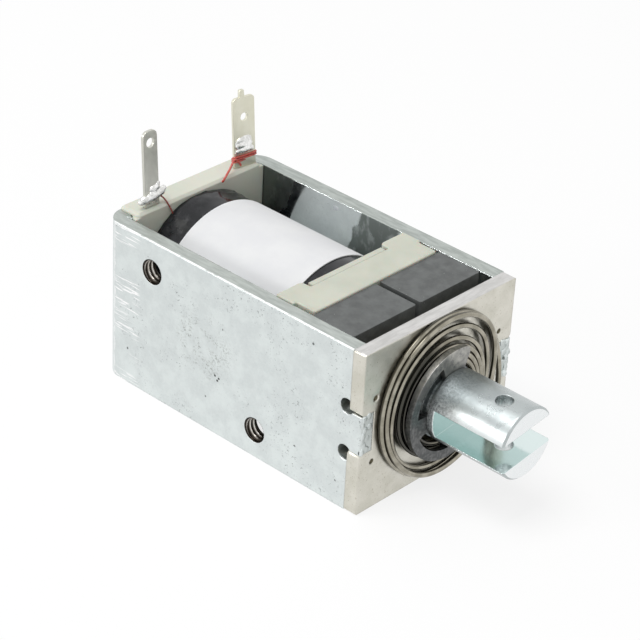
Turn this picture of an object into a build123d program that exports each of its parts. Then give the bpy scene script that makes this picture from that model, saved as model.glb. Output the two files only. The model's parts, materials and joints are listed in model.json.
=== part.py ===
"""Latching solenoid: open steel frame, coil with permanent magnets, and a forked plunger.

Millimetres. X runs along the plunger towards its fork, Y across the frame and Z up.
The origin is on the base, midway between the rear rivet head and the end of the fork.
"""
from build123d import *
from math import cos, radians, sin, tan
import os

os.makedirs("parts", exist_ok=True)

# Steel frame: a bent yoke and a front plate
frame_length = 52.7
frame_width = 32.0
frame_height = 26.5
wall = 2.5
bend_radius = 3.4
plate_thickness = 2.3
corner_radius = 0.35

# Tongues of the yoke in the notches of the front plate
tongue_height = 6.25
tongue_gap = 0.04
notch_mouth_radius = 0.8
relief_radius = 1.25
relief_setback = 0.55
relief_offset = 0.7
dent_radius = 0.55
dent_tip_radius = 0.055
dent_depth = 0.45
dent_from_notch = 2.1

# Tapped M4 holes in the near side plate
mounting_hole_radius = 2.0
rear_hole_from_rear = 10.5
rear_hole_from_top = 5.05
front_hole_from_front = 20.3
front_hole_from_base = 4.5

# Plunger, seen with the solenoid latched
plunger_radius = 5.6
plunger_reach = 16.65
plunger_edge = 0.3
fork_slot = 4.6
fork_depth = 12.45
fork_turn = 7.0
pin_hole_radius = 1.325
pin_hole_from_end = 4.1

# Retaining ring and the groove that it sits in
ring_radius = 8.95
ring_thickness = 1.0
ring_stand_off = 2.0
groove_depth = 1.05
groove_side_gap = 0.05
ring_running_gap = 0.05
ring_mouth_direction = 11.0
ring_mouth_half_angle = 57.0
ring_window_start = 100.0
ring_back_prong_half_angle = 14.0
ring_rim = 1.6
ring_tip_radius = 0.9
ring_corner_radius = 0.3

# Conical return spring
spring_wire = 0.9
spring_large_radius = 12.7
spring_small_radius = 6.3
spring_turns = 5
spring_seat_gap = 0.02

# Guide tube and fixed core
tube_wall = 0.4
tube_setback = 0.3
running_gap = 0.08
fit_gap = 0.05
core_length = 14.2
core_tail_radius = 3.0
core_head_radius = 4.2
core_head_height = 0.45
core_edge = 0.3
air_gap = 0.05

# Magnets and their holder
magnet_thickness = 7.8
magnet_front_gap = 2.3
magnet_middle_gap = 0.9
magnet_top_drop = 0.05
magnet_edge = 0.25
magnet_tube_gap = 0.6
holder_depth = 5.3
holder_rise = 0.25
holder_end_gap = 0.6
holder_step_depth = 3.6
holder_lug_reach = 1.8
holder_lug_length = 5.2
holder_lug_radius = 0.8
holder_corner = 0.5

# Bobbin
hub_wall = 0.8
front_flange = 1.0
front_flange_rise = 0.12
front_flange_end_gap = 0.6
rear_flange = 1.7
rear_flange_rise = 0.7
rear_flange_end_gap = 0.1
lip_inset = 3.2
lip_corner = 0.6
lip_front_chamfer = 0.4
base_gap = 0.2

# Winding, its tape and the paper wrap
coil_gap = 0.15
wrap_thickness = 0.2
tape_thickness = 0.4
wrap_from_rear_flange = 4.6
wrap_from_front_flange = 2.5

# Terminals, from the top of the bobbin's rear flange
terminal_thickness = 0.5
terminal_setback = 1.1
terminal_root = 4.0
near_tab_from_lip_end = 3.56
near_tab_width = 2.8
near_tab_height = 12.1
near_tab_lean = 3.8
near_tab_turn = 0.0
near_tab_hole_radius = 0.75
near_tab_hole_height = 10.2
near_tab_corner = 0.9
far_tab_from_lip_end = 2.54
far_tab_width = 4.05
far_tab_height = 11.3
far_tab_lean = 5.2
far_tab_turn = 8.2
far_tab_hole_radius = 0.65
far_tab_hole_height = 8.05
far_tab_corner = 0.15
far_stub_width = 0.95
far_stub_height = 1.2
far_stub_offset = -0.3

# Solder on the terminals and the enamelled leads
solder_start = 0.8
near_solder_height = 1.35
near_solder_overhang = 0.65
near_solder_depth = 0.65
far_solder_height = 3.2
far_solder_overhang = 0.2
far_solder_depth = 0.3
solder_round = 0.25
lead_diameter = 0.5
lead_clearance = 0.06
near_lead_drift = 2.4
far_lead_drift = 6.1

# Places that follow from the sizes above
half_width = frame_width / 2
inner_half_width = half_width - wall
axis_z = frame_height / 2
front_x = (frame_length + core_head_height - plunger_reach) / 2
plate_rear_x = front_x - plate_thickness
rear_x = front_x - frame_length
rear_inside_x = rear_x + wall

tube_inner_radius = plunger_radius + running_gap
tube_outer_radius = tube_inner_radius + tube_wall
hub_inner_radius = tube_outer_radius + fit_gap
hub_outer_radius = hub_inner_radius + hub_wall

magnet_front_x = plate_rear_x - magnet_front_gap
magnet_rear_x = magnet_front_x - magnet_thickness
holder_front_x = magnet_rear_x - fit_gap
holder_rear_x = holder_front_x - holder_depth
front_flange_front_x = holder_rear_x - fit_gap
front_flange_rear_x = front_flange_front_x - front_flange
rear_flange_front_x = rear_inside_x + rear_flange
flange_top_z = frame_height + rear_flange_rise
lip_half_width = half_width - lip_inset
near_tab_y = near_tab_from_lip_end - lip_half_width
far_tab_y = lip_half_width - far_tab_from_lip_end

wrap_outer_radius = min(inner_half_width, axis_z) - coil_gap
tape_outer_radius = wrap_outer_radius - wrap_thickness
winding_radius = tape_outer_radius - tape_thickness

ring_rear_x = front_x + ring_stand_off
groove_radius = plunger_radius - groove_depth
ring_inner_radius = groove_radius + ring_running_gap
core_face_x = rear_inside_x + core_length
fork_end_x = front_x + plunger_reach


def across(x, turn=0.0):
    """Plane square to the plunger's axis at x, its own X turned from +Y towards +Z."""
    x_dir = (0, cos(radians(turn)), sin(radians(turn)))
    return Plane(origin=(x, 0, axis_z), x_dir=x_dir, z_dir=(1, 0, 0))


def polar(radius, angle):
    """Point in a plane across the axis, its angle measured from +Y towards +Z."""
    return (radius * cos(radians(angle)), radius * sin(radians(angle)))


def tab_plane(y, lean, turn):
    """Plane of a terminal: its own X runs across the tab and its own Y up the tab."""
    run = Vector(sin(radians(turn)), cos(radians(turn)), 0)
    forward = run.cross(Vector(0, 0, 1))
    facing = forward * cos(radians(lean)) + Vector(0, 0, sin(radians(lean)))
    foot = (rear_flange_front_x - terminal_setback, y, flange_top_z)
    return Plane(origin=foot, x_dir=run, z_dir=facing)


def write(name, piece):
    piece.part.label = name
    export_step(piece.part, f"parts/{name}.step")


# Yoke: one strip bent to a U, with a tongue at the front of each side
with BuildPart() as frame_yoke:
    strip_y = half_width - wall / 2
    with BuildSketch():
        with BuildLine():
            FilletPolyline(
                (front_x, strip_y),
                (rear_x + wall / 2, strip_y),
                (rear_x + wall / 2, -strip_y),
                (front_x, -strip_y),
                radius=bend_radius - wall / 2,
            )
        trace(line_width=wall)
    extrude(amount=frame_height)
    relief_z = tongue_height / 2 + relief_offset
    shoulder_height = (frame_height - tongue_height) / 2
    with BuildSketch(Plane.XZ):
        for side in (1, -1):
            shoulder_z = axis_z + side * (tongue_height + shoulder_height) / 2
            with Locations(((plate_rear_x + front_x) / 2, shoulder_z)):
                Rectangle(plate_thickness, shoulder_height)
            with Locations((plate_rear_x - relief_setback, axis_z + side * relief_z)):
                Circle(relief_radius)
    extrude(amount=half_width, both=True, mode=Mode.SUBTRACT)
    with BuildSketch(Plane.XZ.offset(half_width)):
        with Locations(
            (rear_x + rear_hole_from_rear, frame_height - rear_hole_from_top),
            (front_x - front_hole_from_front, front_hole_from_base),
        ):
            Circle(mounting_hole_radius)
    extrude(amount=-wall, mode=Mode.SUBTRACT)
    with BuildSketch(across(rear_x)):
        Circle(core_tail_radius + fit_gap)
    extrude(amount=wall, mode=Mode.SUBTRACT)
write("frame_yoke", frame_yoke)

# Front plate: notched for the tongues and staked beside each notch
with BuildPart() as front_plate:
    notch_depth = wall + tongue_gap
    notch_height = tongue_height + 2 * tongue_gap
    with BuildSketch(across(plate_rear_x)):
        Rectangle(frame_width, frame_height)
        fillet(vertices(), corner_radius)
        with Locations((half_width, 0), (-half_width, 0)):
            Rectangle(2 * notch_depth, notch_height, mode=Mode.SUBTRACT)
        side_corners = vertices().filter_by(lambda v: abs(v.X) > half_width - notch_depth / 2)
        mouths = side_corners.filter_by(lambda v: abs(v.Y) < notch_height)
        fillet(mouths, notch_mouth_radius)
        Circle(tube_outer_radius + fit_gap, mode=Mode.SUBTRACT)
    extrude(amount=plate_thickness)
    dent_y = inner_half_width - dent_radius / 2
    dent_z = notch_height / 2 + dent_from_notch
    with Locations(across(front_x - dent_depth / 2)):
        with Locations(*[(y, z) for y in (dent_y, -dent_y) for z in (dent_z, -dent_z)]):
            Cone(dent_tip_radius, dent_radius, dent_depth, mode=Mode.SUBTRACT)
write("front_plate", front_plate)

# Plunger: turned rod with a ring groove, a milled fork and a pin hole through both ears
with BuildPart() as plunger:
    plunger_rear_x = core_face_x + air_gap
    with BuildSketch(across(plunger_rear_x)):
        Circle(plunger_radius)
    extrude(amount=fork_end_x - plunger_rear_x)
    chamfer(plunger.edges().filter_by(GeomType.CIRCLE), plunger_edge)
    with BuildSketch(across(ring_rear_x - groove_side_gap)):
        Circle(plunger_radius)
        Circle(groove_radius, mode=Mode.SUBTRACT)
    extrude(amount=ring_thickness + 2 * groove_side_gap, mode=Mode.SUBTRACT)
    fork_plane = across(fork_end_x, fork_turn)
    with BuildSketch(fork_plane):
        Rectangle(2 * plunger_radius, fork_slot)
    extrude(amount=-fork_depth, mode=Mode.SUBTRACT)
    pin_plane = Plane(
        origin=(fork_end_x - pin_hole_from_end, 0, axis_z),
        x_dir=(1, 0, 0),
        z_dir=fork_plane.y_dir,
    )
    with BuildSketch(pin_plane):
        Circle(pin_hole_radius)
    extrude(amount=plunger_radius, both=True, mode=Mode.SUBTRACT)
write("plunger", plunger)

# Retaining ring: three prongs, two windows between them and an open mouth
with BuildPart() as retaining_ring:
    window_radius = ring_radius - ring_rim
    window_sweep = 180 - ring_back_prong_half_angle - ring_window_start
    with BuildSketch(across(ring_rear_x, ring_mouth_direction)):
        Circle(ring_radius)
        Circle(ring_inner_radius, mode=Mode.SUBTRACT)
        for start in (ring_window_start, 180 + ring_back_prong_half_angle):
            end = start + window_sweep
            with BuildLine():
                CenterArc((0, 0), groove_radius, start, window_sweep)
                CenterArc((0, 0), window_radius, start, window_sweep)
                Line(polar(groove_radius, start), polar(window_radius, start))
                Line(polar(groove_radius, end), polar(window_radius, end))
            make_face(mode=Mode.SUBTRACT)
        with BuildLine():
            Polyline(
                (0, 0),
                polar(2 * ring_radius, -ring_mouth_half_angle),
                polar(2 * ring_radius, 0),
                polar(2 * ring_radius, ring_mouth_half_angle),
                close=True,
            )
        make_face(mode=Mode.SUBTRACT)
        corners = vertices().group_by(lambda v: round((v.X**2 + v.Y**2) ** 0.5, 3))
        fillet(corners[-1], ring_tip_radius)
        fillet(corners[0] + corners[1], ring_corner_radius)
    extrude(amount=ring_thickness)
write("retaining_ring", retaining_ring)

# Return spring: each half turn is one arc, and every arc meets the next on a line along Z
with BuildPart() as return_spring:
    half_turns = 2 * spring_turns
    radius_step = (spring_large_radius - spring_small_radius) / half_turns
    spring_start_x = front_x + spring_wire / 2 + spring_seat_gap
    spring_end_x = ring_rear_x - spring_wire / 2 - spring_seat_gap
    rise = (spring_end_x - spring_start_x) / half_turns
    knots = [
        Vector(
            spring_start_x + i * rise,
            (-1) ** i * (spring_large_radius - i * radius_step),
            axis_z,
        )
        for i in range(half_turns + 1)
    ]
    with BuildLine():
        for i in range(half_turns):
            chord = knots[i + 1] - knots[i]
            crown = (knots[i] + knots[i + 1]) / 2 + Vector(0, 0, (-1) ** i * chord.length / 2)
            ThreePointArc(knots[i], crown, knots[i + 1])
    with BuildSketch(Plane(origin=knots[0], z_dir=(0, 0, 1))):
        Circle(spring_wire / 2)
    sweep()
write("return_spring", return_spring)

# Guide tube: a plain sleeve that the plunger slides in
with BuildPart() as guide_tube:
    with BuildSketch(across(rear_inside_x)):
        Circle(tube_outer_radius)
        Circle(tube_inner_radius, mode=Mode.SUBTRACT)
    extrude(amount=front_x - tube_setback - rear_inside_x)
write("guide_tube", guide_tube)

# Fixed core: shouldered against the rear of the yoke and riveted over behind it
with BuildPart() as fixed_core:
    with BuildSketch(across(rear_inside_x)):
        Circle(plunger_radius)
    extrude(amount=core_length)
    chamfer(fixed_core.edges().filter_by(GeomType.CIRCLE).sort_by(Axis.X)[-1], core_edge)
    with BuildSketch(across(rear_inside_x)):
        Circle(core_tail_radius)
    extrude(amount=-wall)
    with BuildSketch(across(rear_x)):
        Circle(core_head_radius)
    extrude(amount=-core_head_height)
    chamfer(fixed_core.edges().filter_by(GeomType.CIRCLE).sort_by(Axis.X)[0], core_head_height / 2)
write("fixed_core", fixed_core)

# Magnets: two blocks, each cut half round where the guide tube passes
magnet_height = frame_height - magnet_top_drop - base_gap
magnet_width = inner_half_width - fit_gap - magnet_middle_gap / 2
for name, side in (("magnet_near", -1), ("magnet_far", 1)):
    with BuildPart() as magnet:
        with BuildSketch(Plane.XY.offset(base_gap)):
            with Locations(
                ((magnet_front_x + magnet_rear_x) / 2, side * (magnet_middle_gap + magnet_width) / 2)
            ):
                Rectangle(magnet_thickness, magnet_width)
        extrude(amount=magnet_height)
        chamfer(magnet.edges().filter_by(Axis.Z), magnet_edge)
        with BuildSketch(across(magnet_rear_x)):
            Circle(tube_outer_radius + magnet_tube_gap)
        extrude(amount=magnet_thickness, mode=Mode.SUBTRACT)
    write(name, magnet)

# Magnet holder: moulded block between the coil and the magnets, with lugs back over the flange
with BuildPart() as magnet_holder:
    holder_top_z = frame_height + holder_rise
    holder_height = holder_top_z - base_gap
    narrow_half = inner_half_width - holder_end_gap
    wide_half = inner_half_width - fit_gap
    with BuildSketch(Plane.XY.offset(base_gap)):
        with Locations(((holder_front_x + holder_rear_x) / 2, 0)):
            Rectangle(holder_depth, 2 * narrow_half)
        fillet(vertices().group_by(Axis.X)[-1], holder_corner)
    extrude(amount=holder_height)
    step_depth = holder_depth - holder_step_depth
    with BuildSketch(Plane.XY.offset(base_gap)):
        with Locations((holder_rear_x + step_depth / 2, 0)):
            Rectangle(step_depth, 2 * wide_half)
        lug_x = holder_rear_x - holder_lug_reach / 2
        lug_y = wide_half - holder_lug_length / 2
        with Locations((lug_x, lug_y), (lug_x, -lug_y)):
            Rectangle(holder_lug_reach, holder_lug_length)
        lug_corners = vertices().group_by(Axis.X)[0].sort_by(Axis.Y)[1:3]
        fillet(lug_corners, holder_lug_radius)
    extrude(amount=holder_height)
    with BuildSketch(across(holder_front_x)):
        Circle(tube_outer_radius + fit_gap)
    extrude(amount=-(holder_depth + holder_lug_reach), mode=Mode.SUBTRACT)
    with BuildSketch(across(holder_rear_x)):
        Circle(wrap_outer_radius + coil_gap)
    extrude(amount=-holder_lug_reach, mode=Mode.SUBTRACT)
write("magnet_holder", magnet_holder)

# Bobbin: hub, a thin front flange and a rear flange with a lip over the yoke
near_plane = tab_plane(near_tab_y, near_tab_lean, near_tab_turn)
far_plane = tab_plane(far_tab_y, far_tab_lean, far_tab_turn)
with BuildPart() as bobbin:
    hub_length = front_flange_front_x - rear_inside_x
    with BuildSketch(across(rear_inside_x)):
        Circle(hub_outer_radius)
    extrude(amount=hub_length)
    with BuildSketch(across(front_flange_rear_x)):
        Circle(wrap_outer_radius)
        with Locations((0, frame_height + front_flange_rise - axis_z)):
            Rectangle(
                2 * (wide_half - holder_lug_length - front_flange_end_gap),
                axis_z,
                align=(Align.CENTER, Align.MAX),
            )
    extrude(amount=front_flange)
    rear_half = inner_half_width - rear_flange_end_gap
    with BuildSketch(Plane.XY.offset(base_gap)):
        with Locations(((rear_inside_x + rear_flange_front_x) / 2, 0)):
            Rectangle(rear_flange, 2 * rear_half)
        chamfer(vertices().group_by(Axis.X)[0], bend_radius - wall)
    extrude(amount=frame_height - base_gap)
    with BuildSketch(Plane.XY.offset(frame_height)):
        with Locations(((rear_x + rear_flange_front_x) / 2, 0)):
            Rectangle(wall + rear_flange, 2 * lip_half_width)
        fillet(vertices(), lip_corner)
    extrude(amount=rear_flange_rise)
    lip_edges = bobbin.edges().filter_by(Axis.Y).filter_by_position(Axis.Z, flange_top_z, flange_top_z)
    chamfer(lip_edges.sort_by(Axis.X)[-1], lip_front_chamfer)
    with BuildSketch(across(rear_inside_x)):
        Circle(hub_inner_radius)
    extrude(amount=hub_length, mode=Mode.SUBTRACT)
    for plane, width in ((near_plane, near_tab_width), (far_plane, far_tab_width)):
        with BuildSketch(plane):
            with Locations((0, -terminal_root / 2)):
                Rectangle(width + 2 * fit_gap, terminal_root + 2 * fit_gap)
        extrude(amount=terminal_thickness / 2 + fit_gap, both=True, mode=Mode.SUBTRACT)
write("bobbin", bobbin)

# Winding, the black tape round it and the white wrap round that
lead_x = rear_flange_front_x + lead_diameter / 2 + lead_clearance
near_lead_end_y = near_tab_y + near_lead_drift
far_lead_end_y = far_tab_y - far_lead_drift
coil_length = front_flange_rear_x - rear_flange_front_x - 2 * fit_gap
with BuildPart() as coil_winding:
    with BuildSketch(across(rear_flange_front_x + fit_gap)):
        Circle(winding_radius)
        Circle(hub_outer_radius + fit_gap, mode=Mode.SUBTRACT)
    extrude(amount=coil_length)
write("coil_winding", coil_winding)

with BuildPart() as outer_tape:
    with BuildSketch(across(rear_flange_front_x + fit_gap)):
        Circle(tape_outer_radius)
        Circle(winding_radius, mode=Mode.SUBTRACT)
    extrude(amount=coil_length)
    with BuildSketch(Plane.XY.offset(axis_z)):
        with Locations((lead_x, near_lead_end_y), (lead_x, far_lead_end_y)):
            Rectangle(lead_diameter + 2 * lead_clearance, lead_diameter + 2 * lead_clearance)
    extrude(amount=axis_z, mode=Mode.SUBTRACT)
write("outer_tape", outer_tape)

with BuildPart() as coil_wrap:
    wrap_rear_x = rear_flange_front_x + wrap_from_rear_flange
    with BuildSketch(across(wrap_rear_x)):
        Circle(wrap_outer_radius)
        Circle(tape_outer_radius, mode=Mode.SUBTRACT)
    extrude(amount=front_flange_rear_x - wrap_from_front_flange - wrap_rear_x)
write("coil_wrap", coil_wrap)

# Terminals: flat tabs rooted in the rear flange
with BuildPart() as terminal_near:
    with BuildSketch(near_plane):
        with Locations((0, -terminal_root)):
            Rectangle(near_tab_width, near_tab_height + terminal_root, align=(Align.CENTER, Align.MIN))
        fillet(vertices().group_by(Axis.Y)[-1], near_tab_corner)
        with Locations((0, near_tab_hole_height)):
            Circle(near_tab_hole_radius, mode=Mode.SUBTRACT)
    extrude(amount=terminal_thickness / 2, both=True)
write("terminal_near", terminal_near)

with BuildPart() as terminal_far:
    with BuildSketch(far_plane):
        with Locations((0, -terminal_root)):
            Rectangle(far_tab_width, far_tab_height + terminal_root, align=(Align.CENTER, Align.MIN))
        fillet(vertices().group_by(Axis.Y)[-1], far_tab_corner)
        with Locations((far_stub_offset, far_tab_height)):
            Rectangle(far_stub_width, 2 * far_stub_height)
        with Locations((0, far_tab_hole_height)):
            Circle(far_tab_hole_radius, mode=Mode.SUBTRACT)
    extrude(amount=terminal_thickness / 2, both=True)
write("terminal_far", terminal_far)

# Solder: a lump round the foot of each tab
solder_sizes = (
    ("solder_near", near_plane, near_tab_width, near_solder_overhang, near_solder_height, near_solder_depth),
    ("solder_far", far_plane, far_tab_width, far_solder_overhang, far_solder_height, far_solder_depth),
)
for name, plane, width, overhang, height, depth in solder_sizes:
    with BuildPart() as solder:
        with BuildSketch(plane):
            with Locations((0, solder_start + height / 2)):
                Rectangle(width + 2 * overhang, height)
        extrude(amount=terminal_thickness / 2 + depth, both=True)
        fillet(solder.edges(), min(solder_round, depth / 2))
        with BuildSketch(plane):
            with Locations((0, solder_start + height / 2)):
                Rectangle(width, 2 * height)
        extrude(amount=terminal_thickness / 2, both=True, mode=Mode.SUBTRACT)
    write(name, solder)


def lead_end(y):
    """Height at which a lead at y stands on the winding."""
    nearest_y = abs(y) - lead_diameter / 2
    return axis_z + (winding_radius**2 - nearest_y**2) ** 0.5 + lead_clearance


def bend_radii(route):
    """Largest radius that the two runs beside each corner of a route leave room for."""
    runs = [Vector(b) - Vector(a) for a, b in zip(route, route[1:])]
    return [
        0.45 * min(first.length, second.length) / tan(radians(first.get_angle(second) / 2))
        for first, second in zip(runs, runs[1:])
    ]


# Leads: enamelled wire from the foot of each tab, down the rear flange to the winding
foot_x = rear_flange_front_x - terminal_setback
near_side_y = near_tab_y + near_tab_width / 2 + near_solder_overhang + lead_diameter / 2 + lead_clearance
far_side_y = far_tab_y - far_tab_width / 2 - far_solder_overhang - lead_diameter / 2 - lead_clearance
lead_routes = {
    "lead_near": [
        (foot_x + 0.2, near_side_y, flange_top_z + solder_start + 0.4),
        (foot_x + 0.95, near_side_y + 0.1, flange_top_z + 0.62),
        (lead_x, near_side_y + 0.2, flange_top_z - 0.7),
        (lead_x, near_lead_end_y, lead_end(near_lead_end_y)),
    ],
    "lead_far": [
        (foot_x + 0.3, far_side_y, flange_top_z + solder_start + 1.0),
        (foot_x + 0.8, far_side_y - 1.4, flange_top_z + 0.95),
        (lead_x - 0.05, far_side_y - 2.9, flange_top_z + 0.15),
        (lead_x, far_lead_end_y, lead_end(far_lead_end_y)),
    ],
}
for name, route in lead_routes.items():
    radii = bend_radii(route)
    with BuildPart() as lead:
        with BuildLine():
            FilletPolyline(*route, radius=radii)
        with BuildSketch(Plane(origin=route[0], z_dir=Vector(route[1]) - Vector(route[0]))):
            Circle(lead_diameter / 2)
        sweep()
    print(name, "bend radii", [round(radius, 2) for radius in radii], "volume", round(lead.part.volume, 3))
    write(name, lead)
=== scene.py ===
"""Looks of the latching solenoid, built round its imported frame.

Lengths below are in millimetres, and MM turns them into metres. X runs along the plunger towards
its fork, Y across the frame towards its far side and Z up.
"""
import json
import math

import bpy
from mathutils import Matrix, Vector, noise


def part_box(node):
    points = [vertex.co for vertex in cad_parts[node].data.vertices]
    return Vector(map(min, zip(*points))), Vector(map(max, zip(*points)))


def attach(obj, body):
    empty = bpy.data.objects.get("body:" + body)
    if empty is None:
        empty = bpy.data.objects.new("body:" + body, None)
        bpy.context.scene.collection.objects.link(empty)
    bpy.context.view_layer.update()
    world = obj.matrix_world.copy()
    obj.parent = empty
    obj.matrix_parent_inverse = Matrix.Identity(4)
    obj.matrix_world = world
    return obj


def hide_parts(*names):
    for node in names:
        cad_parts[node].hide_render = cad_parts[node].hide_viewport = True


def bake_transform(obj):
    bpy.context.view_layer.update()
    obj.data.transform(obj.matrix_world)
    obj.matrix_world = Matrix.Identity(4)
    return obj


MM = 0.001

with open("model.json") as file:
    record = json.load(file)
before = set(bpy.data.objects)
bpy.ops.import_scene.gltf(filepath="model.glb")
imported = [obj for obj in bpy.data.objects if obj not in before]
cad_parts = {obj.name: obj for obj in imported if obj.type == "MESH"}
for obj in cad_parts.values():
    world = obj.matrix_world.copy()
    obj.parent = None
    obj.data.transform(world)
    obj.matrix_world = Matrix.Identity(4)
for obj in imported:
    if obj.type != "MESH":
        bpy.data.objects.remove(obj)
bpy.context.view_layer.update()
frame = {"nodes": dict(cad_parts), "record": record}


def box_mm(node):
    """Lowest and highest corner of a node, in millimetres."""
    low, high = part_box(node)
    return low / MM, high / MM


# Places read from the frame
yoke_low, yoke_high = box_mm("frame_yoke")
bobbin_low, bobbin_high = box_mm("bobbin")
tape_low, tape_high = box_mm("outer_tape")
ring_low, ring_high = box_mm("retaining_ring")

front_x = box_mm("front_plate")[1].x
fork_end_x = box_mm("plunger")[1].x
rear_x = yoke_low.x
half_width = yoke_high.y
frame_height = yoke_high.z
axis_z = frame_height / 2
flange_top_z = bobbin_high.z
flange_front_x = tape_low.x - 0.05
tape_radius = tape_high.y

# Thickness of the yoke's strip, and centres of its two tapped holes
WALL = 2.5
THREADED_HOLES = ((rear_x + 10.5, frame_height - 5.05), (front_x - 20.3, 4.5))

# The plunger's fork, as photographed
FORK_TURN = 7
SLOT_HALF = 2.35
SLOT_LENGTH = 12.7
PIN_RADIUS = 1.325
PIN_FROM_END = 4.1


def new_object(name, mesh, material, body, replaces=()):
    """Puts a finished mesh in the scene, on its body and with its material slot."""
    piece = bpy.data.objects.new(name, mesh)
    bpy.context.scene.collection.objects.link(piece)
    mesh.materials.clear()
    mesh.materials.append(material)
    if body:
        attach(piece, body)
    if replaces:
        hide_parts(*replaces)
    return piece


def mesh_of(name, points, faces):
    """Smoothly shaded mesh from points in millimetres."""
    mesh = bpy.data.meshes.new(name)
    mesh.from_pydata([tuple(c * MM for c in p) for p in points], [], faces)
    mesh.validate()
    for polygon in mesh.polygons:
        polygon.use_smooth = True
    mesh.update()
    return mesh


def through(knots, steps):
    """Smooth line through every knot, with the same number of steps between each two."""
    line = []
    for i in range(len(knots) - 1):
        before = knots[max(i - 1, 0)]
        after = knots[min(i + 2, len(knots) - 1)]
        a, b = knots[i], knots[i + 1]
        slope = b - before
        bend = 2 * before - 5 * a + 4 * b - after
        twist = 3 * a - before - 3 * b + after
        for k in range(steps):
            t = k / steps
            line.append(0.5 * (2 * a + slope * t + bend * t * t + twist * t**3))
    line.append(knots[-1].copy())
    return line


def tube(line, radius, sides, taper):
    """Points and faces of a round wire along a line, its closed ends rounded over taper sections."""
    points, faces = [], []
    side = None
    for i, centre in enumerate(line):
        ahead = (line[min(i + 1, len(line) - 1)] - line[max(i - 1, 0)]).normalized()
        if side is None:
            side = ahead.orthogonal().normalized()
        side = (side - ahead * side.dot(ahead)).normalized()
        up = ahead.cross(side)
        from_end = min(i, len(line) - 1 - i)
        size = radius * min(1.0, 0.45 + 0.55 * from_end / taper)
        for k in range(sides):
            turn = 2 * math.pi * k / sides
            points.append(centre + (side * math.cos(turn) + up * math.sin(turn)) * size)
    for i in range(len(line) - 1):
        for k in range(sides):
            n = (k + 1) % sides
            faces.append((i * sides + k, i * sides + n, (i + 1) * sides + n, (i + 1) * sides + k))
    faces.append(tuple(reversed(range(sides))))
    last = (len(line) - 1) * sides
    faces.append(tuple(last + k for k in range(sides)))
    return points, faces


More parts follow.
